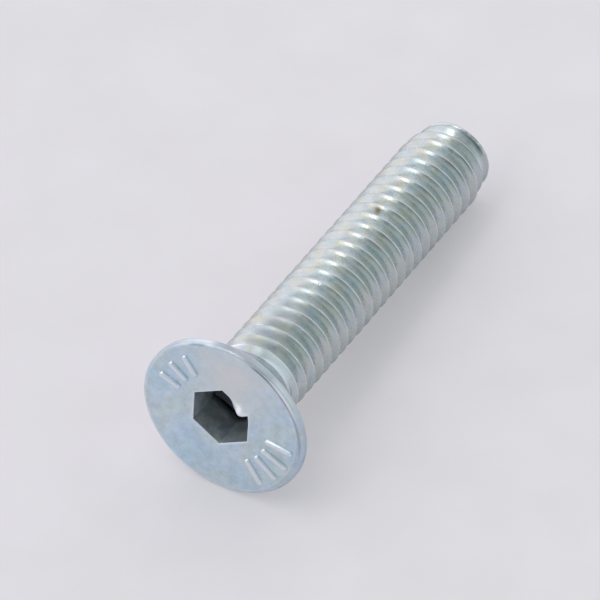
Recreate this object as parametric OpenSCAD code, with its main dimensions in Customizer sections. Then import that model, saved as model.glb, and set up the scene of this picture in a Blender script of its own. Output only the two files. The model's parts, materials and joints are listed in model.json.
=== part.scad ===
// Countersunk socket screw: a flat conical head with a hexagon socket and a shank threaded
// almost up to the head, in one piece. It lies on its side, on the rim of the head and the
// last full crest of the thread, with its length along X and the tip at +X.

/* [Head] */
// Diameter of the head over its rim
head_diameter = 7.55; // [6.8:0.05:8.4]
// Height of the straight rim between the face and the cone
rim_height = 0.36; // [0.2:0.02:0.6]
// Rounding of the edge between the face and the rim
rim_round = 0.1; // [0.04:0.01:0.15]
// Full angle of the cone under the head
countersink_angle = 90; // [82:1:100]

/* [Socket] */
// Width of the hexagon across its flats
socket_width = 2.54; // [2:0.01:2.8]
// Depth of the hexagon's flats below the face
socket_depth = 1.8; // [1.2:0.05:2]
// Full angle of the cone at the bottom of the socket
socket_point_angle = 120; // [110:1:140]

/* [Thread] */
// Length of the screw from the face of the head to the tip
screw_length = 19.8; // [12:0.1:30]
// Diameter over the crests of the thread
thread_diameter = 3.84; // [3.7:0.01:4]
// Distance from one crest to the next
thread_pitch = 0.7; // [0.6:0.01:0.8]
// Angle between the two flanks of a groove
thread_angle = 60; // [55:1:62]
// Height of a crest above the face, on the side that the screw lies on, before whole pitches
thread_phase = 0.294; // [0:0.001:0.7]
// Straight pieces in one turn of the thread
thread_facets = 28; // [16:4:36]

/* [Neck and tip] */
// Diameter of the plain neck between the head and the thread
neck_diameter = 3.5; // [3.4:0.01:3.6]
// Length of the neck before the first crest rises
neck_length = 0.25; // [0.1:0.05:2]
// Length over which the groove falls from the neck to its full depth
thread_runout = 0.9; // [0.4:0.05:1.5]
// Diameter of the flat end of the tip
tip_diameter = 3.36; // [2.6:0.02:3.6]
// Length of the chamfer at the tip
tip_chamfer = 1.2; // [0.5:0.05:1.5]

/* [Hidden] */
$fn = 96;
overlap = 0.1;

head_radius = head_diameter / 2;
neck_radius = neck_diameter / 2;
thread_radius = thread_diameter / 2;
tip_radius = min(tip_diameter / 2, thread_radius - overlap);

// The cone of the head narrows to the neck, and the thread starts after the neck
cone_height = (head_radius - neck_radius) / tan(countersink_angle / 2);
head_height = rim_height + cone_height;
thread_start = head_height + neck_length;

// Thread form: flat crests an eighth and flat roots a sixth of the pitch wide
crest_width = thread_pitch / 8;
root_width = thread_pitch / 6;
thread_depth = (thread_pitch - crest_width - root_width) / 2 / tan(thread_angle / 2);
root_radius = thread_radius - thread_depth;
core_radius = root_radius - overlap;

// The helix is made longer than the shank at both ends, and the shank's outline trims it
shank_base = thread_start - overlap;
crest_base = thread_phase + thread_pitch * floor((shank_base - thread_phase) / thread_pitch - 1);
turns = ceil((screw_length - crest_base) / thread_pitch + 0.5);
steps = thread_facets * turns;
thread_form = [
    [thread_radius, -crest_width / 2],
    [thread_radius, crest_width / 2],
    [root_radius, (thread_pitch - root_width) / 2],
    [root_radius, (thread_pitch + root_width) / 2]
];

// Outline of the chamfered tip: its radius at a distance from the face
chamfer_start = screw_length - tip_chamfer;
chamfer_slope = (thread_radius - tip_radius) / tip_chamfer;
function tip_outline(at) = thread_radius - max(0, at - chamfer_start) * chamfer_slope;

// The outermost point of each crest on the underside, as [distance from the face, radius]
function crest_point(near, far) =
    let (at = near > chamfer_start ? near : min(far, chamfer_start))
    [at, tip_outline(at)];
crest_points = [
    for (turn = [1 : turns])
    let (middle = crest_base + turn * thread_pitch)
    if (middle > thread_start + thread_pitch && middle < screw_length)
    crest_point(middle - crest_width / 2, middle + crest_width / 2)
];

// The screw tips until a crest meets the floor that the rim of the head stands on
rest_tilt = min([for (point = crest_points) atan((head_radius - point[1]) / (point[0] - rim_height))]);
rest_lift = rim_height * sin(rest_tilt) + head_radius * cos(rest_tilt);
front_x = rim_round * cos(rest_tilt) - (head_radius - rim_round) * sin(rest_tilt) - rim_round;
tip_x = screw_length * cos(rest_tilt) + tip_radius * sin(rest_tilt);

// Head, neck and run-out of the groove, turned about the axis with the face at zero
module head_blank() {
    rotate_extrude() {
        polygon([
            [0, 0],
            [head_radius - rim_round, 0],
            [head_radius - rim_round, rim_round],
            [head_radius, rim_round],
            [head_radius, rim_height],
            [neck_radius, head_height],
            [neck_radius, thread_start],
            [core_radius, thread_start + thread_runout],
            [0, thread_start + thread_runout]
        ]);
        intersection() {
            translate([head_radius - rim_round, rim_round]) circle(rim_round);
            translate([head_radius - rim_round, 0]) square(rim_round);
        }
    }
}

// Hexagon recess with a conical bottom
module socket() {
    corner_radius = socket_width / sqrt(3);
    point_height = corner_radius / tan(socket_point_angle / 2);
    intersection() {
        translate([0, 0, -overlap])
            cylinder(h = overlap + socket_depth + point_height, r = corner_radius, $fn = 6);
        rotate_extrude()
            polygon([
                [0, -2 * overlap],
                [2 * corner_radius, -2 * overlap],
                [2 * corner_radius, socket_depth - point_height],
                [0, socket_depth + point_height]
            ]);
    }
}

// Right-hand thread: its form is carried round and along the axis, and each turn joins the next
module thread_helix() {
    function number(step, corner) = 4 * step + corner;
    points = [
        for (step = [0 : steps])
        for (corner = thread_form)
        let (turn = step / thread_facets)
        [
            corner[0] * cos(360 * turn),
            corner[0] * sin(360 * turn),
            crest_base + turn * thread_pitch + corner[1]
        ]
    ];
    low_centre = len(points);
    high_centre = low_centre + 1;
    centres = [
        [0, 0, crest_base + thread_pitch / 2],
        [0, 0, crest_base + turns * thread_pitch + crest_width]
    ];
    low_edge = concat(
        [for (step = [0 : thread_facets]) number(step, 0)],
        [for (corner = [3, 2, 1]) number(0, corner)]
    );
    high_edge = concat(
        [for (step = [steps : -1 : steps - thread_facets]) number(step, 3)],
        [for (corner = [0, 1, 2]) number(steps, corner)]
    );
    strips = [
        for (step = [0 : steps - 1])
        for (corner = [0 : 3])
        let (next = corner < 3 ? number(step, corner + 1) : number(step + thread_facets, 0))
        if (next + 4 < len(points))
        for (face = [
            [number(step, corner), next, number(step + 1, corner)],
            [next, next + 4, number(step + 1, corner)]
        ])
        face
    ];
    low_end = [
        for (k = [0 : len(low_edge) - 1])
        [low_centre, low_edge[k], low_edge[(k + 1) % len(low_edge)]]
    ];
    high_end = [
        for (k = [0 : len(high_edge) - 1])
        [high_centre, high_edge[k], high_edge[(k + 1) % len(high_edge)]]
    ];
    polyhedron(concat(points, centres), concat(strips, low_end, high_end), convexity = 10);
}

// Outline of the shank: the crests rise from the neck and are cut back by the chamfer at the tip
module shank_outline() {
    clear_radius = thread_radius + overlap;
    rotate_extrude()
        polygon([
            [0, shank_base],
            [neck_radius - overlap, shank_base],
            [clear_radius, thread_start + clear_radius - neck_radius],
            [clear_radius, chamfer_start - overlap / chamfer_slope],
            [tip_radius, screw_length],
            [0, screw_length]
        ]);
}

module screw() {
    color("silver")
    translate([-(front_x + tip_x) / 2, 0, rest_lift])
    rotate([0, 90 + rest_tilt, 0])
    difference() {
        union() {
            head_blank();
            intersection() {
                thread_helix();
                shank_outline();
            }
        }
        socket();
    }
}

screw();
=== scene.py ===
import json

import bpy
import numpy as np
from mathutils import Matrix, Vector


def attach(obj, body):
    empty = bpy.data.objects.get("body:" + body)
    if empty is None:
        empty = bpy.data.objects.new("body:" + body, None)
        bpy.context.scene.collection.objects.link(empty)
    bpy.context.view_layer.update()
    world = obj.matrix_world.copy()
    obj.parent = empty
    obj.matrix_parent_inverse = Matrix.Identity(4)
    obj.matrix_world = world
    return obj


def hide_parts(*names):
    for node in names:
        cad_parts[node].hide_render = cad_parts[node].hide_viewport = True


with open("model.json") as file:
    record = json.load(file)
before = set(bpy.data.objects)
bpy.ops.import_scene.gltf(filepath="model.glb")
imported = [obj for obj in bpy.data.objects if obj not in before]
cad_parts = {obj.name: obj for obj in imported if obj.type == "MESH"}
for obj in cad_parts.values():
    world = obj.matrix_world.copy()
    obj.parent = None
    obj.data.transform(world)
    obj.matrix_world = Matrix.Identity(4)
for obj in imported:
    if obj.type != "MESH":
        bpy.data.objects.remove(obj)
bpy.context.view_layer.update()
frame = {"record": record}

# The screw's own axes: x down, y to the side, z from the face of the head to the tip, in millimetres.
# A turn about the axis starts at x, so 0 degrees is down, 90 is to the side and 180 is up
socketMouth = [m for m in frame["record"]["mounts"] if m["name"] == "drive_socket"][0]
faceCentre = np.array(socketMouth["pos_m"])
alongDir = -np.array(socketMouth["axis"]) / np.linalg.norm(socketMouth["axis"])
sideDir = np.array([0.0, 1.0, 0.0])
downDir = np.cross(sideDir, alongDir)
columns = 144  # a multiple of six, so that the socket's corners fall on columns
turn = np.linspace(0.0, 2 * np.pi, columns + 1)


def toFrame(points):
    # own axes in millimetres to the shared frame in metres
    return faceCentre + 0.001 * (points @ np.stack([downDir, sideDir, alongDir]))


def byTurn(stops):
    # a value for each turn: straight between stops of (degrees, value), level before and after them
    return np.interp(np.degrees(turn), *zip(*stops))


def softMin(a, b, width):
    # the smaller of two heights, with the corner between them rounded over the given width
    near = np.maximum(width - np.abs(a - b), 0.0) / width
    return np.minimum(a, b) - near * near * width / 4


def softMax(a, b, width):
    # the larger of two heights, rounded in the same way
    return -softMin(-a, -b, width)


def smoothStep(share):
    # 0 to 1 with level ends: three squares less two cubes
    return share * share * (3 - 2 * share)


def bell(distance, width):
    # 1 in the middle and fading on both sides: exp of minus the square of distance over width
    return np.exp(-(distance / width) ** 2)


def ripple(points, seed, count, reach):
    # slow unevenness: the mean of plane waves of random direction and phase, scaled to about -1 to 1
    dice = np.random.default_rng(seed)
    waves = dice.normal(size=(count, 3)) / reach
    return np.sin(points @ waves.T + dice.uniform(0, 6.283, count)).mean(axis=-1) * 1.6


def weldGrid(grid, zone, notes):
    # rows and columns of points become welded triangles: doubles share one number, flat ones are dropped
    weldSteps = 2e4  # to a millimetre
    rows, cols = grid.shape[:2]
    flat = grid.reshape(-1, 3)
    steps = np.round(flat * weldSteps).astype(np.int64)
    _, first, number = np.unique(steps, axis=0, return_index=True, return_inverse=True)
    n = number.reshape(rows, cols)
    a, b, c, d = n[:-1, :-1].ravel(), n[:-1, 1:].ravel(), n[1:, 1:].ravel(), n[1:, :-1].ravel()
    tris = np.concatenate([np.stack([a, b, c], 1), np.stack([a, c, d], 1)])
    zones = np.tile(np.repeat(zone, cols - 1), 2)
    good = (tris[:, 0] != tris[:, 1]) & (tris[:, 1] != tris[:, 2]) & (tris[:, 2] != tris[:, 0])
    return flat[first], tris[good], zones[good], {k: v.reshape(-1)[first] for k, v in notes.items()}


def newPiece(name, points, tris, materials, zones=None, notes=None, sharp=40):
    # a smooth mesh that keeps edges sharper than the given angle; zones choose each face's finish,
    # and notes are shares at each point that the finish reads
    mesh = bpy.data.meshes.new(name)
    mesh.from_pydata(toFrame(points).tolist(), [], tris.tolist())
    for material in materials:
        mesh.materials.append(material)
    mesh.polygons.foreach_set("use_smooth", np.ones(len(tris), dtype=bool))
    if zones is not None:
        mesh.polygons.foreach_set("material_index", zones.astype(np.int32))
    for key, values in (notes or {}).items():
        mesh.attributes.new(key, "FLOAT", "POINT").data.foreach_set("value", values.astype(np.float32))
    mesh.set_sharp_from_angle(angle=np.radians(sharp))
    mesh.update()
    piece = bpy.data.objects.new(name, mesh)
    bpy.context.scene.collection.objects.link(piece)
    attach(piece, "root")
    print(name, len(tris), "triangles")
    return piece


def addNode(tree, kind, values=None, **settings):
    # values go to the node's sockets, settings to the node itself
    node = tree.nodes.new(kind)
    for key, value in settings.items():
        setattr(node, key, value)
    for key, value in (values or {}).items():
        node.inputs[key].default_value = value
    return node


def feed(tree, item, socket):
    # the item is a socket or a plain value
    if hasattr(item, "is_linked"):
        tree.links.new(item, socket)
    else:
        socket.default_value = item


def mixColour(tree, share, a, b, blend="MIX"):
    # a where the share is 0, b where it is 1
    node = addNode(tree, "ShaderNodeMix", data_type="RGBA", blend_type=blend)
    for index, item in ((0, share), (6, a), (7, b)):
        feed(tree, item, node.inputs[index])
    return node.outputs[2]


def mapRange(tree, value, low, high, toLow=0.0, toHigh=1.0):
    # straight from one range to the other, level outside it
    ends = {"From Min": low, "From Max": high, "To Min": toLow, "To Max": toHigh}
    node = addNode(tree, "ShaderNodeMapRange", ends)
    tree.links.new(value, node.inputs["Value"])
    return node.outputs["Result"]


def colourRamp(tree, stops):
    # stops of (place, colour) in rising order
    ramp = tree.nodes.new("ShaderNodeValToRGB")
    steps = ramp.color_ramp.elements
    steps[0].position, steps[0].color = stops[0]
    steps[1].position, steps[1].color = stops[-1]
    for place, colour in stops[1:-1]:
        steps.new(place).color = colour
    return ramp


def addNote(tree, name, share, base):
    # base + share * mesh attribute
    note = addNode(tree, "ShaderNodeAttribute", attribute_name=name)
    total = addNode(tree, "ShaderNodeMath", {1: share}, operation="MULTIPLY_ADD")
    tree.links.new(note.outputs["Fac"], total.inputs[0])
    feed(tree, base, total.inputs[2])
    return total.outputs[0]


def newGroup(name, inputs, outputs):
    # a node group with the given sockets: label and kind
    tree = bpy.data.node_groups.new(name, "ShaderNodeTree")
    for way, sockets in (("INPUT", inputs), ("OUTPUT", outputs)):
        for label, kind in sockets.items():
            tree.interface.new_socket(label, in_out=way, socket_type="NodeSocket" + kind)
    return tree, tree.nodes.new("NodeGroupInput"), tree.nodes.new("NodeGroupOutput")


# Noise scales are per millimetre, a spread is the part of the noise that is used, and a shade is the darkest
# and the brightest tone
grainForm = {"patches": 0.55, "patchSpread": (0.35, 0.66), "clouds": 2.6, "cloudShade": (0.88, 1.07),
             "grainShade": (0.94, 1.05), "shadeSpread": (0.3, 0.7), "roughSpread": (0.32, 0.68),
             "pits": 3.2, "pitEdge": (0.05, 0.12), "pitShare": 0.22, "pitColour": (0.30, 0.33, 0.36, 1)}
filmForm = {"detail": 3.0, "distortion": 0.4,
            "tints": [(0.30, (0.84, 0.91, 1.00, 1)), (0.42, (0.86, 0.99, 0.96, 1)),
                      (0.50, (0.97, 0.98, 0.97, 1)), (0.59, (0.98, 1.00, 0.84, 1)),
                      (0.70, (1.00, 0.94, 0.84, 1))]}


def platingGroup():
    # zinc plating: slow patches of two tones, clouds, fine crystal grain and a few pits
    tree, into, out = newGroup(
        "platingGrain",
        {"Vector": "Vector", "Metal": "Color", "Film": "Color", "Film Share": "Float",
         "Grain Size": "Float", "Smooth": "Float", "Rough": "Float"},
        {"Colour": "Color", "Roughness": "Float", "Height": "Float"})
    link = tree.links.new

    def noise(scale, detail, rough=0.55):
        node = addNode(tree, "ShaderNodeTexNoise", {"Detail": detail, "Roughness": rough})
        feed(tree, scale, node.inputs["Scale"])
        link(into.outputs["Vector"], node.inputs["Vector"])
        return node.outputs["Fac"]

    patches, clouds = noise(grainForm["patches"], 3), noise(grainForm["clouds"], 4)
    grain = noise(into.outputs["Grain Size"], 5, 0.6)
    pits = addNode(tree, "ShaderNodeTexVoronoi", {"Scale": grainForm["pits"], "Randomness": 1.0})
    link(into.outputs["Vector"], pits.inputs["Vector"])
    pit = mapRange(tree, pits.outputs["Distance"], *grainForm["pitEdge"], 1.0, 0.0)

    filmShare = addNode(tree, "ShaderNodeMath", operation="MULTIPLY")
    link(mapRange(tree, patches, *grainForm["patchSpread"]), filmShare.inputs[0])
    link(into.outputs["Film Share"], filmShare.inputs[1])
    colour = mixColour(tree, filmShare.outputs[0], into.outputs["Metal"], into.outputs["Film"])
    tone, spread = addNode(tree, "ShaderNodeMath", operation="MULTIPLY"), grainForm["shadeSpread"]
    link(mapRange(tree, clouds, *spread, *grainForm["cloudShade"]), tone.inputs[0])
    link(mapRange(tree, grain, *spread, *grainForm["grainShade"]), tone.inputs[1])
    toned = addNode(tree, "ShaderNodeVectorMath", operation="SCALE")
    link(colour, toned.inputs[0])
    link(tone.outputs[0], toned.inputs["Scale"])
    pitShare = mapRange(tree, pit, 0.0, 1.0, 0.0, grainForm["pitShare"])
    link(mixColour(tree, pitShare, toned.outputs[0], grainForm["pitColour"]), out.inputs["Colour"])

    low, high = grainForm["roughSpread"]
    rough = addNode(tree, "ShaderNodeMapRange", {"From Min": low, "From Max": high})
    link(clouds, rough.inputs["Value"])
    link(into.outputs["Smooth"], rough.inputs["To Min"])
    link(into.outputs["Rough"], rough.inputs["To Max"])
    link(rough.outputs["Result"], out.inputs["Roughness"])

    height = addNode(tree, "ShaderNodeMath", operation="SUBTRACT")
    link(grain, height.inputs[0])
    link(pit, height.inputs[1])
    link(height.outputs[0], out.inputs["Height"])
    return tree


def filmGroup():
    # passivation film: its thickness drifts from place to place, and its tint with it
    tree, into, out = newGroup(
        "filmTint", {"Vector": "Vector", "Colour": "Color", "Size": "Float", "Share": "Float"},
        {"Colour": "Color"})
    drift = addNode(tree, "ShaderNodeTexNoise",
                    {"Detail": filmForm["detail"], "Distortion": filmForm["distortion"]})
    tree.links.new(into.outputs["Vector"], drift.inputs["Vector"])
    tree.links.new(into.outputs["Size"], drift.inputs["Scale"])
    tints = colourRamp(tree, filmForm["tints"])
    tree.links.new(drift.outputs["Fac"], tints.inputs["Fac"])
    share, plain = into.outputs["Share"], into.outputs["Colour"]
    tinted = mixColour(tree, share, plain, tints.outputs["Color"], "MULTIPLY")
    tree.links.new(tinted, out.inputs["Colour"])
    return tree


# One look for each finish: plating, film tint, bump in metres, and the colours of the notes on the mesh
faceLook = {
    "Metal": (0.58, 0.70, 0.82, 1), "Film": (0.67, 0.75, 0.85, 1), "Film Share": 0.8, "Grain Size": 9.0,
    "Smooth": 0.30, "Rough": 0.44, "bump": 0.35, "depth": 0.00002, "offset": (3.1, 0.4, 1.7),
    "tint": 0.55, "tintSize": 0.7, "metallic": 1.0, "white": 0.55,
    # the warm colour is a painted warm highlight, the edge colour serves rubbed edges and painted
    # highlights, and the last colour is painted shade with a painted dark line near the rim
    "warmHighlight": (0.75, 0.74, 0.72, 1), "edge": (0.92, 0.90, 0.96, 1), "paintedDark": (0.12, 0.11, 0.15, 1),
}
threadLook = {
    "Metal": (0.595, 0.62, 0.65, 1), "Film": (0.665, 0.68, 0.69, 1), "Film Share": 0.7, "Grain Size": 7.0,
    "Smooth": 0.20, "Rough": 0.34, "bump": 0.3, "depth": 0.000015, "offset": (0.0, 7.3, 2.2),
    "tint": 0.9, "tintSize": 1.5, "metallic": 1.0, "white": 0.55, "matt": 0.24,
    # the neck colour is a painted highlight, the sheen colour a painted sheen and the dull colour painted
    # shade; the groove colour is painted fill light in the roots, the edge colour serves worn crests and
    # painted highlights, and the line colour painted dark lines
    "neck": (0.87, 0.92, 1.00, 1), "paintedSheen": (0.86, 0.85, 0.88, 1), "paintedShade": (0.48, 0.53, 0.55, 1),
    "groove": (0.88, 0.90, 0.92, 1), "edge": (0.95, 0.97, 0.98, 1), "line": (0.10, 0.11, 0.14, 1),
    "stain": (0.20, 0.15, 0.07, 1),
}
backLook = {
    "Metal": (0.60, 0.65, 0.70, 1), "Film": (0.65, 0.69, 0.73, 1), "Film Share": 0.5, "Grain Size": 9.0,
    "Smooth": 0.27, "Rough": 0.40, "bump": 0.35, "depth": 0.00002, "offset": (1.2, 2.9, 4.4),
    "tint": 0.30, "tintSize": 0.8, "metallic": 1.0,
    "edge": (0.84, 0.86, 0.89, 1),
}
# the socket's walls have lighter colours than the face, painted fill light in the recess, and the deep
# colour is painted shade towards the bottom
socketLook = {
    "Metal": (0.80, 0.86, 0.92, 1), "Film": (0.84, 0.89, 0.94, 1), "Film Share": 0.8, "Grain Size": 8.0,
    "Smooth": 0.34, "Rough": 0.5, "bump": 0.4, "depth": 0.00002, "offset": (5.0, 1.0, 0.0),
    "tint": 0.4, "tintSize": 1.2, "metallic": 0.90,
    "deep": (0.045, 0.05, 0.055, 1),
}
grazingTint = (0.75, 0.77, 0.80, 1)


def makeFinish(name, look, notes):
    # plating under a film, on the object's own coordinates in millimetres; then each note on the mesh
    # mixes in the colour of the same name
    material = bpy.data.materials.new(name)
    material.use_nodes = True
    tree = material.node_tree
    link = tree.links.new
    tree.nodes.clear()
    output = tree.nodes.new("ShaderNodeOutputMaterial")
    shader = addNode(tree, "ShaderNodeBsdfPrincipled",
                     {"Metallic": look["metallic"], "Specular Tint": grazingTint})
    link(shader.outputs["BSDF"], output.inputs["Surface"])
    coords = tree.nodes.new("ShaderNodeTexCoord")
    toMm = addNode(tree, "ShaderNodeMapping", {"Scale": (1000, 1000, 1000), "Location": look["offset"]})
    link(coords.outputs["Object"], toMm.inputs["Vector"])
    grain = addNode(tree, "ShaderNodeGroup", node_tree=platingGrain)
    link(toMm.outputs["Vector"], grain.inputs["Vector"])
    for key in ("Metal", "Film", "Film Share", "Grain Size", "Smooth", "Rough"):
        grain.inputs[key].default_value = look[key]
    tint = addNode(tree, "ShaderNodeGroup", node_tree=filmTint)
    tint.inputs["Size"].default_value, tint.inputs["Share"].default_value = look["tintSize"], look["tint"]
    link(toMm.outputs["Vector"], tint.inputs["Vector"])
    link(grain.outputs["Colour"], tint.inputs["Colour"])
    colour = tint.outputs["Colour"]
    for note in notes:
        share = addNode(tree, "ShaderNodeAttribute", attribute_name=note)
        colour = mixColour(tree, share.outputs["Fac"], colour, look[note])
    link(colour, shader.inputs["Base Color"])
    bump = addNode(tree, "ShaderNodeBump", {"Strength": look["bump"], "Distance": look["depth"]})
    link(grain.outputs["Height"], bump.inputs["Height"])
    link(bump.outputs["Normal"], shader.inputs["Normal"])
    rough = grain.outputs["Roughness"]
    if "matt" in look:
        rough = addNote(tree, "matt", look["matt"], rough)
    link(rough, shader.inputs["Roughness"])
    if "white" in look:  # rubbed places and painted highlights are whiter and less of a mirror
        link(addNote(tree, "white", -look["white"], look["metallic"]), shader.inputs["Metallic"])
    return material


platingGrain, filmTint = platingGroup(), filmGroup()
faceZinc = makeFinish("faceZinc", faceLook, ["warmHighlight", "edge", "paintedDark"])  # satin; its edges are rubbed and carry painted highlights, with painted shade and a painted dark line near the rim, and a painted warm highlight
threadZinc = makeFinish("threadZinc", threadLook,
                        ["neck", "paintedSheen", "paintedShade", "groove", "edge", "line", "stain"])
backZinc = makeFinish("backZinc", backLook, ["edge"])  # cone and end of the tip
socketZinc = makeFinish("socketZinc", socketLook, ["deep"])  # darker towards the bottom: painted shade
faceZone, threadZone, socketZone, backZone = range(4)
print("finishes ready")

socketForm = {"flat": 1.27, "depth": 1.8, "pointSlope": 0.577, "lip": 0.045, "shift": (-0.06, 0.10),
              "darkFrom": 0.8}  # share of the depth from which the socket is painted darker: painted shade
burrForm = {"from": 180.0, "to": 240.0, "swellFrom": 0.20, "swellOver": 0.48, "endOver": 0.2,
            "reach": 0.74, "lip": 0.75, "fade": 0.40,
            "chipTurn": 231.0, "chipAt": 1.22, "chipSize": 0.28, "chipHeight": 0.27}
headForm = {"radius": 3.775, "rim": 0.36, "backRound": 0.05, "dish": 0.012, "uneven": 0.004,
            "wornTurn": 285.0, "wornSpan": 80.0, "wornWide": 0.22, "wornDeep": 0.07, "wornShade": 0.19}
warmForm = {"turn": 190.0, "at": 2.4, "size": 1.6, "share": 0.8}
# The rim by turn: radius of its front edge, how bright the straight rim and the edge are from rubbing and
# painted highlights, where it is painted darker as painted shade, and where a painted dark line sits and how
# far inside the rim
rimForm = {
    "edgeRound": [(200, 0.13), (214, 0.06), (240, 0.06), (252, 0.13)],
    "rimWearAndHighlight": [(0, 0.4), (110, 0.5), (138, 0.7), (150, 0.8), (166, 0.8), (171, 0.2), (176, 0), (213, 0),
                  (218, 1), (231, 0.9), (240, 0.2), (300, 0.1), (330, 0.4), (360, 0.4)],
    "edgeWearAndHighlight": [(0, 0.3), (120, 0.3), (140, 0.1), (176, 0), (184, 0.15), (190, 0.15), (196, 0),
                   (212, 0.1), (217, 0.9), (232, 0.9), (240, 0.5), (246, 0.1), (300, 0.1), (330, 0.3),
                   (360, 0.3)],
    "paintedShade": [(166, 0), (172, 0.35), (179, 0.52), (185, 0.45), (190, 0.48), (196, 0.46), (204, 0.27),
             (213, 0.2), (220, 0.03), (260, 0)],
    "paintedDark": [(150, 0), (155, 0.5), (163, 0.5), (166, 0), (196, 0), (202, 0.9), (212, 1), (217, 0.7),
             (222, 0.5), (228, 0.7), (240, 0.5), (268, 0.35), (280, 0)],
    "darkLineIn": [(166, 0.07), (196, 0.11), (212, 0.13), (220, 0.16), (228, 0.18), (236, 0.17), (246, 0.17)],
    "darkLineWidth": 0.045, "wearAndHighlight": 0.9, "wearAndHighlightWidth": 0.06, "wearAndHighlightFade": 0.7, "lipRubbed": 0.3, "backRubbed": 0.1,
}
neckForm = {"radius": 1.75, "fillet": 0.15, "length": 0.25, "rise": 0.5, "riseFrom": (-0.2, -0.04),
            "runout": 0.9, "runoutPast": 0.1, "soft": 0.04, "crestSoft": 0.05, "whiteOver": 0.6}


def socketMouthShape():
    # radius of the hexagon at each turn; one side is pushed in by a burr that swells towards its far corner
    hexagon = socketForm["flat"] / np.cos(np.mod(turn, np.pi / 3) - np.pi / 6)
    side = np.clip((np.degrees(turn) - burrForm["from"]) / (burrForm["to"] - burrForm["from"]), 0, 1)
    swell = smoothStep(np.clip((side - burrForm["swellFrom"]) / burrForm["swellOver"], 0, 1))
    swell = swell * np.sqrt(np.clip((1 - side) / burrForm["endOver"], 0, 1))
    return hexagon, burrForm["reach"] * swell, socketForm["lip"] + burrForm["lip"] * swell


def headBands():
    # bands of rows from the bottom of the socket up its walls, over the lip, across the face, round the rim
    # and down the cone to the neck; each gives radius, height, finish, rubbing with painted highlights,
    # share of the socket's shift and painted shade. A band starts one step in, because the one before it
    # ends where it begins
    hexagon, burr, lip = socketMouthShape()
    radius, bands = headForm["radius"], []

    def band(r, z, zone, wearAndHighlight=0.0, moved=0.0, shadePaint=0.0):
        flat = 0 * (z + turn)
        bands.append([r + flat, z + flat, np.full(len(z), zone), wearAndHighlight + flat, moved + flat, shadePaint + flat])

    def steps(a, b, count):
        return np.linspace(a, b, count)[:, None]

    corner, slope = socketForm["flat"] / np.cos(np.pi / 6), socketForm["pointSlope"]
    r = steps(0, 1, 9) * hexagon
    band(r, socketForm["depth"] + slope * (corner - r), socketZone, 0.0, 1.0)  # conical bottom
    floorZ = socketForm["depth"] + slope * (corner - hexagon)
    z = floorZ + (lip - floorZ) * steps(0.06, 1, 18)
    band(hexagon - burr * bell(z - lip, burrForm["fade"]), z, socketZone, 0.0, 1.0)  # walls
    t, mouth = steps(0.15, np.pi / 2, 14), hexagon - burr
    r, z = mouth + lip * (1 - np.cos(t)), lip * (1 - np.sin(t))
    band(r, z, faceZone, rimForm["lipRubbed"], 1.0)  # rounded lip

    away = np.abs(np.mod(np.degrees(turn) - headForm["wornTurn"] + 180, 360) - 180)
    worn = smoothStep(np.clip(1 - away / headForm["wornSpan"], 0, 1))  # the edge is worn wider on one side
    # the worn side of the rim is also painted darker: painted shade
    edgeRound, wornShade = byTurn(rimForm["edgeRound"]), headForm["wornShade"] * worn
    wide, deep = edgeRound + headForm["wornWide"] * worn, edgeRound + headForm["wornDeep"] * worn
    inner, outer = mouth + lip, radius - wide
    # how bright the edge and the straight rim are by turn: rubbed wear and painted highlights
    edgeWearAndHighlight, rimWearAndHighlight = [rimForm["wearAndHighlight"] * byTurn(rimForm[key]) for key in ("edgeWearAndHighlight", "rimWearAndHighlight")]
    paintedDark, darkLineIn, paintedShade = [byTurn(rimForm[key]) for key in ("paintedDark", "darkLineIn", "paintedShade")]

    def darkLineAt(r):
        # a thin painted dark line at its distance inside the rim
        return paintedDark * bell(radius - r - darkLineIn, rimForm["darkLineWidth"])

    s = 1 - (1 - steps(0.03, 1, 32)) ** 1.5  # rows crowd towards the rim
    r = inner + (outer - inner) * s
    wearAndHighlight = edgeWearAndHighlight * np.clip(1 - (outer - r) / rimForm["wearAndHighlightWidth"], 0, 1)
    band(r, headForm["dish"] * np.sin(np.pi * s), faceZone, wearAndHighlight, 1 - s, darkLineAt(r))  # face
    t = steps(0.15, np.pi / 2, 9)
    r, wearAndHighlight = outer + wide * np.sin(t), edgeWearAndHighlight * np.cos(t) ** 0.5
    # painted shade on the front edge: the painted dark line, the rim's painted shade and the worn side's
    # painted shade
    shadePaint = np.maximum(darkLineAt(r), paintedShade * np.sin(t)) + wornShade
    band(r, deep * (1 - np.cos(t)), faceZone, wearAndHighlight, 0.0, shadePaint)  # front edge
    backRound = headForm["backRound"]
    low = headForm["rim"] - backRound * np.tan(np.pi / 8)
    s = steps(0, 1, 6)[1:]
    z, wearAndHighlight = deep + (low - deep) * s, rimWearAndHighlight * (1 - rimForm["wearAndHighlightFade"] * s)
    band(radius + 0 * z, z, faceZone, wearAndHighlight, 0.0, paintedShade + wornShade)  # straight rim
    t = steps(0.2, np.pi / 4, 4)
    r, z = radius - backRound * (1 - np.cos(t)), low + backRound * np.sin(t)
    band(r, z, backZone, rimForm["backRubbed"])  # back edge of the rim

    fillet, neckRadius = neckForm["fillet"], neckForm["radius"]
    headHeight = headForm["rim"] + radius - neckRadius
    bend = headHeight + fillet * np.tan(np.pi / 8)
    start = [part[-1, 0] for part in bands[-1][:2]]
    end = [neckRadius + fillet * (1 - np.cos(np.pi / 4)), bend - fillet * np.sin(np.pi / 4)]
    s = steps(0, 1, 15)[1:]
    band(start[0] + (end[0] - start[0]) * s, start[1] + (end[1] - start[1]) * s, backZone)  # cone
    t = steps(np.pi / 4, 0, 6)[1:]
    band(neckRadius + fillet * (1 - np.cos(t)), bend - fillet * np.sin(t), threadZone)  # into the neck
    return [np.concatenate(part) for part in zip(*bands)] + [bend, headHeight]


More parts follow.
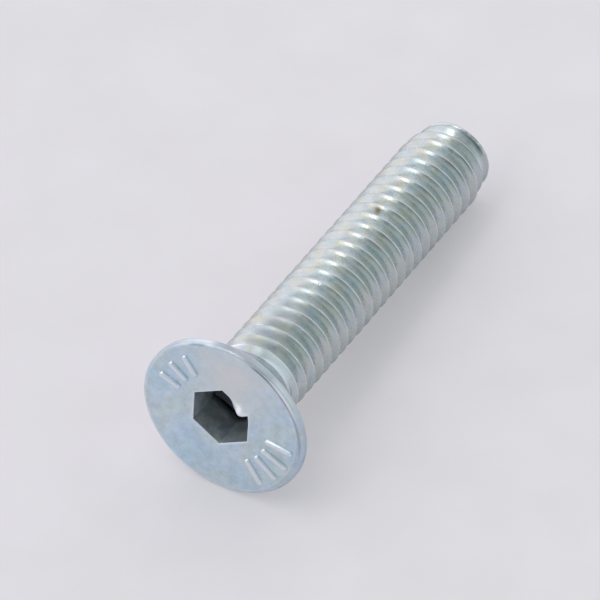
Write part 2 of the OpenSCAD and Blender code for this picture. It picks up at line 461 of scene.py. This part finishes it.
# Rows are the places between a crest and a root where the mesh has lines, in pitches
threadForm = {"radius": 1.92, "pitch": 0.7, "phase": 0.294, "depth": 0.43, "crestRound": (0.21, 0.11),
              "rootRound": 0.12, "uneven": 0.006, "unevenOver": 0.5, "nicks": 0.03, "nickFrom": 0.55,
              "rows": (0.03, 0.06, 0.09, 0.13, 0.18, 0.24, 0.31, 0.38, 0.44)}
tipForm = {"length": 19.8, "radius": 1.68, "chamfer": 1.35, "bow": 1.6, "shallow": 0.4, "soft": 0.03,
           "lip": 1.3, "lipSoft": 0.04, "round": 0.07, "dish": 0.08, "edgeRows": 4, "edgeFrom": 1.3,
           "rough": 0.014, "roughFrom": 0.3, "roughOver": 0.2,
           # a painted dark line near the end of the tip, and painted glints at its edge
           "shadePaint": 0.85, "shadePaintAt": 0.26, "shadePaintWidth": 0.09,
           "glintAt": 0.10, "glintWidth": 0.06, "glintSteep": 3}
stainForm = {"z": 13.05, "turn": 176.6, "long": 0.11, "wide": 0.17}
# The shank's colours by turn, much of it painted light and shade: a painted sheen on one side and painted
# shade on the other, worn crests with painted highlights, a thin painted dark line before the crests, a
# painted highlight on the neck, stronger painted highlights on the crests and a matt stretch with painted
# shade behind the head, a painted dark line and painted glints at the end of the tip, and painted fill light
# in the roots
shankForm = {
    "paintedSheen": [(90, 0), (112, 0.75), (130, 0.7), (148, 0.3), (166, 0)],
    "paintedShade": [(178, 0), (190, 0.3), (205, 0.1), (235, 0.5), (280, 0.5), (330, 0)], "tipShade": 0.5,
    "edge": [(150, 0.15), (190, 0.05), (203, 0.10), (212, 0.6), (228, 0.8), (262, 0.6), (300, 0.2)],
    "edgeAt": 0.03, "edgeWidth": 0.06, "edgeAtTip": 0.2, "edgeUneven": (0.8, 0.6),
    "line": [(188, 0), (197, 0.9), (214, 1.0), (228, 0.8), (244, 0.25), (258, 0)],
    "lineAt": -0.085, "lineWidth": 0.05, "lineAtHead": 0.25, "lineUneven": (0.75, 0.6),
    "neck": [(110, 0.5), (150, 0.4), (168, 0.1), (192, 0), (202, 0.8), (210, 1), (234, 1), (244, 0.5),
             (256, 0.1), (300, 0.2)],
    "headCrestHighlight": [(134, 0), (142, 1), (159, 1), (168, 0)],
    "matt": [(145, 0), (171, 1), (188, 0.9), (210, 0)], "mattEnd": 7.4, "mattOver": 3.0, "mattShade": 0.28,
    "tipLightAndShade": [(182, 0), (194, 1), (228, 1), (242, 0)],
    "groove": 0.7, "grooveSteep": 1.6,
}
# Unevenness by place: seed, number of waves and reach in millimetres
rippleForm = {"thread": (5, 14, 0.5), "nicks": (8, 16, 0.11), "tip": (3, 12, 0.07), "face": (4, 12, 0.35),
              "shadePaint": (9, 12, 0.25), "crestWearAndHighlight": (6, 12, 0.15), "glints": (11, 14, 0.09)}


def threadRows(bend, headHeight):
    # rows follow the helix, so each row of points is one line of the thread: height = row + pitch * turn.
    # radius = round crest that runs into straight flanks and a rounded root; it rises from the neck, its
    # groove deepens over the run-out, and at the tip the crests follow a bowed chamfer while it gets shallow
    pitch, tr, depth = threadForm["pitch"], threadForm["radius"], threadForm["depth"]
    half = np.array(threadForm["rows"])
    places = np.concatenate([[0.0], half, [0.5], 1 - half[::-1]])
    tipEnd = tipForm["length"] - tipForm["round"]
    first = np.floor((bend - threadForm["phase"]) / pitch) - 1
    last = np.ceil((tipEnd - threadForm["phase"]) / pitch) + 1
    row = threadForm["phase"] + pitch * (np.arange(first, last)[:, None] + places).ravel()
    climb = pitch * turn / (2 * np.pi)
    z = np.clip(row[:, None] + climb, bend, tipEnd)
    nearHalf = 0.499999  # keeps the row in the root on one side of it
    place = np.mod((z - climb - threadForm["phase"]) / pitch + nearHalf, 1.0) - nearHalf  # from the crest
    off, bent = np.abs(place) * pitch, np.where(place < 0, *threadForm["crestRound"])
    fall = np.where(off < bent, off * off / (2 * bent), off - bent / 2) * np.sqrt(3)  # flanks at 60 degrees
    r = softMax(tr - fall, tr - depth + 0 * z, threadForm["rootRound"])
    height = np.clip((r - tr + depth) / depth, 0, 1)
    left = np.clip((tipForm["length"] - z) / tipForm["chamfer"], 0, 1)  # 1 before the chamfer, 0 at the end
    bowed = tipForm["radius"] + (tr + tipForm["soft"] - tipForm["radius"]) * left ** tipForm["bow"]
    crests = softMin(tr + 0 * z, bowed, tipForm["soft"])
    r = crests - (tr - r) * (tipForm["shallow"] + (1 - tipForm["shallow"]) * left)
    begin, soft = headHeight + neckForm["length"], neckForm["soft"]
    riseZ, riseR = neckForm["riseFrom"]
    rise = neckForm["radius"] + riseR + neckForm["rise"] * (z - begin - riseZ)
    drop = (neckForm["radius"] - tr + depth + neckForm["runoutPast"]) / neckForm["runout"]
    fill = neckForm["radius"] - np.maximum(z - begin, 0) * drop
    r = softMin(softMax(r, fill, soft), softMax(rise, fill, soft), neckForm["crestSoft"])
    endLip = tipForm["radius"] - tipForm["lip"] * (tipEnd - z)  # a lip runs round the very end
    r = softMax(r, endLip, tipForm["lipSoft"])

    kinds = ("paintedSheen", "paintedShade", "edge", "line", "neck", "headCrestHighlight", "matt")
    share = {kind: byTurn(shankForm[kind]) for kind in kinds}
    nearHead = np.clip(1 - (z - begin) / neckForm["whiteOver"], 0, 1)
    behindHead = np.clip((shankForm["mattEnd"] - z) / shankForm["mattOver"], 0, 1)
    # painted highlight on the neck by turn; the matt stretch behind the head is rougher
    neck, matt = nearHead * share["neck"], share["matt"] * behindHead
    # crests: worn, with painted highlights by turn and stronger painted highlights behind the head
    edge = (share["edge"] + behindHead * share["headCrestHighlight"]) * (height > 0.5)
    edge = edge * bell(place - shankForm["edgeAt"], shankForm["edgeWidth"])
    edge = edge * np.clip(shankForm["edgeAtTip"] + left, 0, 1)
    # painted fill light: the roots are painted lighter
    groove = np.clip(1.0 - height * shankForm["grooveSteep"], 0, 1) * (z > begin) * shankForm["groove"]
    # painted sheen: the upper side of the shank is painted lighter
    paintedSheen = share["paintedSheen"] * (1 - height * height)
    # painted shade: the underside of the shank and the end of the tip are painted darker
    paintedShade = np.clip(share["paintedShade"] + shankForm["tipShade"] * (1 - left), 0, 1) * (1 - neck)
    atHead = shankForm["lineAtHead"]
    # a thin painted dark line before the crests, and painted shade on the matt stretch behind the head
    line = share["line"] * bell(place - shankForm["lineAt"], shankForm["lineWidth"]) * left ** 0.3
    line = line * (atHead + (1 - atHead) * z / tipForm["length"]) * (1 - nearHead)
    line = np.maximum(line, shankForm["mattShade"] * matt)
    aside = np.radians(np.degrees(turn) - stainForm["turn"]) * tr
    stain = bell(z - stainForm["z"], stainForm["long"]) * bell(aside, stainForm["wide"])
    return r, z, {"neck": neck, "groove": groove, "edge": edge, "stain": stain, "paintedSheen": paintedSheen, "paintedShade": paintedShade,
                  "line": line, "matt": matt}


def tipRows(radius):
    # rounded edge, then a shallow dish to the middle of the end
    edge, length, rows = tipForm["round"], tipForm["length"], tipForm["edgeRows"]
    t, s = np.linspace(1 / rows, 1, rows)[:, None], np.linspace(1, 0, 9)[1:, None]
    r = np.concatenate([radius - edge * t * t, (radius - edge) * s])
    z = np.concatenate([length - edge * (1 - t) ** 2, length - tipForm["dish"] * (1 - s * s)])
    return r, z + 0 * turn


def makeScrew():
    # all rows from the socket to the tip turned about the axis, then made a little uneven by place
    headR, headZ, headZone, headWearAndHighlight, headMoved, headShadePaint, bend, headHeight = headBands()
    threadR, threadZ, notes = threadRows(bend, headHeight)
    tipR, tipZ = tipRows(threadR[-1])
    r, z = np.concatenate([headR, threadR, tipR]), np.concatenate([headZ, threadZ, tipZ])
    grid = np.stack([r * np.cos(turn), r * np.sin(turn), z], -1)
    fromEnd = tipForm["length"] - z

    def onHead(values):
        # the head's values, with nothing on the thread and the tip
        return np.concatenate([values, 0 * threadR, 0 * tipR])

    def uneven(key):
        return ripple(grid, *rippleForm[key])

    def fromSpot(angle, at):
        # distance across the face from a spot at the given turn and radius
        a = np.radians(angle)
        return np.hypot(grid[..., 0] - at * np.cos(a), grid[..., 1] - at * np.sin(a))

    onThread = np.clip((z - bend) / threadForm["unevenOver"], 0, 1)
    outside = r > tipForm["edgeFrom"]
    atTip = np.clip((tipForm["roughFrom"] - fromEnd) / tipForm["roughOver"], 0, 1) * outside
    wobble = threadForm["uneven"] * uneven("thread") * onThread
    wobble -= threadForm["nicks"] * np.maximum(uneven("nicks") - threadForm["nickFrom"], 0) * onThread
    wobble += tipForm["rough"] * uneven("tip") * atTip
    grid[..., :2] *= (1 + wobble / np.maximum(r, 0.5))[..., None]
    isFace = (headZone == faceZone)[:, None]
    onFace = onHead(isFace + 0 * headR)
    midFace = onHead(isFace * np.sin(np.pi * np.clip(headMoved, 0, 1)))
    grid[..., 2] += headForm["uneven"] * uneven("face") * midFace
    # a painted warm highlight towards the top of the face
    warmHighlight = warmForm["share"] * bell(fromSpot(warmForm["turn"], warmForm["at"]), warmForm["size"]) * onFace
    # a chip dented into the face, also painted white: painted highlight
    chip = bell(fromSpot(burrForm["chipTurn"], burrForm["chipAt"]), burrForm["chipSize"]) * onFace
    grid[..., 2] -= burrForm["chipHeight"] * chip
    grid[..., :2] += onHead(headMoved)[..., None] * np.array(socketForm["shift"])

    notes = {key: np.concatenate([0 * headR, value, 0 * tipR]) for key, value in notes.items()}
    # at the end of the tip: a painted dark line and painted glints
    tipLightAndShade = byTurn(shankForm["tipLightAndShade"]) * outside
    tipLine = tipForm["shadePaint"] * bell(fromEnd - tipForm["shadePaintAt"], tipForm["shadePaintWidth"]) * tipLightAndShade
    level, swing = shankForm["lineUneven"]
    notes["line"] = np.maximum(notes["line"] * np.clip(level + swing * uneven("shadePaint"), 0, 1), tipLine)
    level, swing = shankForm["edgeUneven"]
    crestEdge = np.clip(notes["edge"] * (level + swing * uneven("crestWearAndHighlight")), 0, 1)
    glints = np.clip(tipForm["glintSteep"] * uneven("glints"), 0, 1)
    glints = glints * bell(fromEnd - tipForm["glintAt"], tipForm["glintWidth"])
    # the edge note: wear and painted highlights on crests, rim and chip, and painted glints at the tip
    notes["edge"] = np.clip(crestEdge + onHead(headWearAndHighlight) + chip + glints * tipLightAndShade, 0, 1)
    # whiter and less of a mirror where rubbed and where highlights are painted
    notes["white"] = np.clip(notes["edge"] + notes["neck"], 0, 1)
    # painted shade: darker towards the bottom of the socket
    socketShade = (headZ / socketForm["depth"] - socketForm["darkFrom"]) / (1 - socketForm["darkFrom"])
    notes["deep"] = onHead(np.clip(socketShade, 0, 1) * (headZone == socketZone)[:, None])
    notes["warmHighlight"], notes["paintedDark"] = warmHighlight, onHead(headShadePaint)

    edgeRows = tipForm["edgeRows"]  # the rounded edge of the tip is finished as the thread
    zones = np.concatenate([headZone, np.full(len(threadR) + edgeRows, threadZone),
                            np.full(len(tipR) - edgeRows, backZone)])
    points, tris, zones, notes = weldGrid(grid, zones[1:], notes)
    screw = newPiece("screwBody", points, tris, [faceZinc, threadZinc, socketZinc, backZinc], zones, notes)
    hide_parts("screw")


makeScrew()

# Two groups of plain raised ticks on the face: degrees from the top, inner and outer radius
markForm = {
    "height": 0.10, "width": 0.30, "bulge": 0.6, "sunk": 0.2, "wearAndHighlight": 0.55,
    "ticks": [(264, 2.15, 3.2), (248, 2.15, 3.2), (232, 2.15, 3.2), (216, 2.15, 3.2),
              (38, 2.3, 3.1), (54, 2.3, 3.1), (70, 2.3, 3.1)],
}


def makeMarks():
    # each tick is half of a stretched ball: rings shrink from its sunk foot to its top, bulged by a power
    s, t = np.linspace(0, np.pi / 2, 10), np.linspace(0, 2 * np.pi, 33)[None, :]
    half, dish, sunk = markForm["width"] / 2, headForm["dish"], markForm["sunk"]
    shrink = np.append(0, np.cos(s) ** markForm["bulge"])[:, None]  # a ring of no width closes the foot
    rise = np.append(0, np.sin(s))[:, None]
    lift = dish - (markForm["height"] + dish) * (rise * (1 + sunk) - sunk) + 0 * t
    across = shrink * np.sin(t) * half
    points, tris, count = [], [], 0
    for angle, low, high in markForm["ticks"]:
        along = shrink * np.cos(t) * half + np.where(np.cos(t) > 0, high, low)
        a = np.radians(180 - angle)
        x, y = along * np.cos(a) - across * np.sin(a), along * np.sin(a) + across * np.cos(a)
        p, f, _, _ = weldGrid(np.stack([x, y, lift], -1), np.zeros(len(rise) - 1, dtype=int), {})
        points.append(p)
        tris.append(f[:, ::-1] + count)  # turned over, so that the faces point outwards
        count += len(p)
    points = np.concatenate(points)
    # the ticks are whitened all over: rubbed wear and painted highlights
    notes = {"edge": np.full(len(points), markForm["wearAndHighlight"])}
    newPiece("raisedMarks", points, np.concatenate(tris), [faceZinc], notes=notes)


makeMarks()

floorForm = {"half": 0.6, "rough": 0.75, "fibre": 260.0, "fibreSpread": (0.35, 0.75),
             "pale": (0.494, 0.478, 0.503, 1), "dust": (0.473, 0.457, 0.480, 1),
             "glow": 0.548}  # a little light comes through the card
lightForm = {"towards": (-0.33, 0.27, 0.90), "distance": 0.5, "long": 0.50, "wide": 0.105, "power": 0.33,
             "colour": (1.0, 0.975, 0.91)}
roomForm = {
    "sky": [(0.45, (0.96, 0.95, 0.98, 1)), (0.55, (1.07, 1.06, 1.10, 1)), (0.70, (1.11, 1.10, 1.14, 1))],
    # the darker side lies past two soft edges: direction, and how far along it the edge starts and ends
    "shadeEdges": [((-0.355, -0.925, -0.137), -0.25, 0.09), ((-1, 0, 0), -1.90, -0.50)],
    "shade": (0.54, 0.62, 0.61, 1),
    "core": (0.36, 0.40, 0.41, 1), "coreEdge": ((-0.58, -0.38, 0.72), 0.92, 0.97),
}
# A point on the screw's axis, at its reach from the face, falls on the given pixel of a square picture
cameraForm = {"azimuth": 29.778, "elevation": 46.844, "distance": 0.300, "focal": 7165.9, "picture": 600,
              "sensor": 36.0, "pixel": (342.23, 282.76), "reach": 0.010, "clip": (0.01, 5.0)}


def makeFloor():
    # a pale card with a faint fibre
    h = floorForm["half"]
    mesh = bpy.data.meshes.new("floor")
    mesh.from_pydata([(-h, -h, 0), (h, -h, 0), (h, h, 0), (-h, h, 0)], [], [(0, 1, 2, 3)])
    floor = bpy.data.objects.new("floor", mesh)
    bpy.context.scene.collection.objects.link(floor)
    material = bpy.data.materials.new("paleCard")
    material.use_nodes = True
    tree = material.node_tree
    shader = tree.nodes["Principled BSDF"]
    shader.inputs["Roughness"].default_value = floorForm["rough"]
    coords = tree.nodes.new("ShaderNodeTexCoord")
    fibre = addNode(tree, "ShaderNodeTexNoise", {"Scale": floorForm["fibre"], "Detail": 4.0})
    tree.links.new(coords.outputs["Object"], fibre.inputs["Vector"])
    share = mapRange(tree, fibre.outputs["Fac"], *floorForm["fibreSpread"])
    tone = mixColour(tree, share, floorForm["pale"], floorForm["dust"])
    tree.links.new(tone, shader.inputs["Base Color"])
    tree.links.new(tone, shader.inputs["Emission Color"])
    shader.inputs["Emission Strength"].default_value = floorForm["glow"]
    mesh.materials.append(material)


def makeLight():
    # a long soft panel almost overhead, its long way along X, in a pale room that is darker on one side
    data = bpy.data.lights.new("panel", "AREA")
    data.shape, data.size, data.size_y = "RECTANGLE", lightForm["long"], lightForm["wide"]
    data.energy, data.color = lightForm["power"], lightForm["colour"]
    lamp = bpy.data.objects.new("panel", data)
    towards = Vector(lightForm["towards"]).normalized()
    along = (Vector((1, 0, 0)) - towards * towards.x).normalized()
    lamp.rotation_euler = Matrix((along, towards.cross(along), towards)).transposed().to_euler()
    lamp.location = towards * lightForm["distance"]
    bpy.context.scene.collection.objects.link(lamp)

    world = bpy.data.worlds.new("room")
    world.use_nodes = True
    bpy.context.scene.world = world
    tree = world.node_tree
    coords = tree.nodes.new("ShaderNodeTexCoord")

    def facing(direction, low, high):
        # how far a ray points along the direction, as a share between low and high
        node = addNode(tree, "ShaderNodeVectorMath", operation="DOT_PRODUCT")
        node.inputs[1].default_value = Vector(direction).normalized()
        tree.links.new(coords.outputs["Generated"], node.inputs[0])
        return mapRange(tree, node.outputs["Value"], low, high)

    sky = colourRamp(tree, roomForm["sky"])
    tree.links.new(facing((0, 0, 1), -1.0, 1.0), sky.inputs["Fac"])
    shade = addNode(tree, "ShaderNodeMath", operation="MULTIPLY")
    for socket, edge in zip(shade.inputs, roomForm["shadeEdges"]):
        tree.links.new(facing(*edge), socket)
    colour = mixColour(tree, shade.outputs[0], sky.outputs["Color"], roomForm["shade"])
    colour = mixColour(tree, facing(*roomForm["coreEdge"]), colour, roomForm["core"])
    tree.links.new(colour, tree.nodes["Background"].inputs["Color"])


def makeCamera():
    # looks along the photo's direction, moved aside so that the point on the axis falls on its pixel
    az, el = np.radians(cameraForm["azimuth"]), np.radians(cameraForm["elevation"])
    view = Vector((np.cos(el) * np.cos(az), np.cos(el) * np.sin(az), -np.sin(el)))
    right = view.cross(Vector((0, 0, 1))).normalized()
    up = right.cross(view)
    data = bpy.data.cameras.new("camera")
    data.sensor_width = cameraForm["sensor"]
    data.lens = cameraForm["focal"] * cameraForm["sensor"] / cameraForm["picture"]
    data.clip_start, data.clip_end = cameraForm["clip"]
    camera = bpy.data.objects.new("camera", data)
    point = Vector(faceCentre + alongDir * cameraForm["reach"])
    perPixel, middle = cameraForm["distance"] / cameraForm["focal"], cameraForm["picture"] / 2
    offX, offY = (cameraForm["pixel"][0] - middle) * perPixel, (middle - cameraForm["pixel"][1]) * perPixel
    camera.location = point - view * cameraForm["distance"] - right * offX - up * offY
    camera.rotation_euler = view.to_track_quat("-Z", "Y").to_euler()
    bpy.context.scene.collection.objects.link(camera)
    bpy.context.scene.camera = camera


makeFloor()
makeLight()
makeCamera()
bpy.context.scene.view_settings.view_transform = "Standard"
print("floor, light and camera ready")
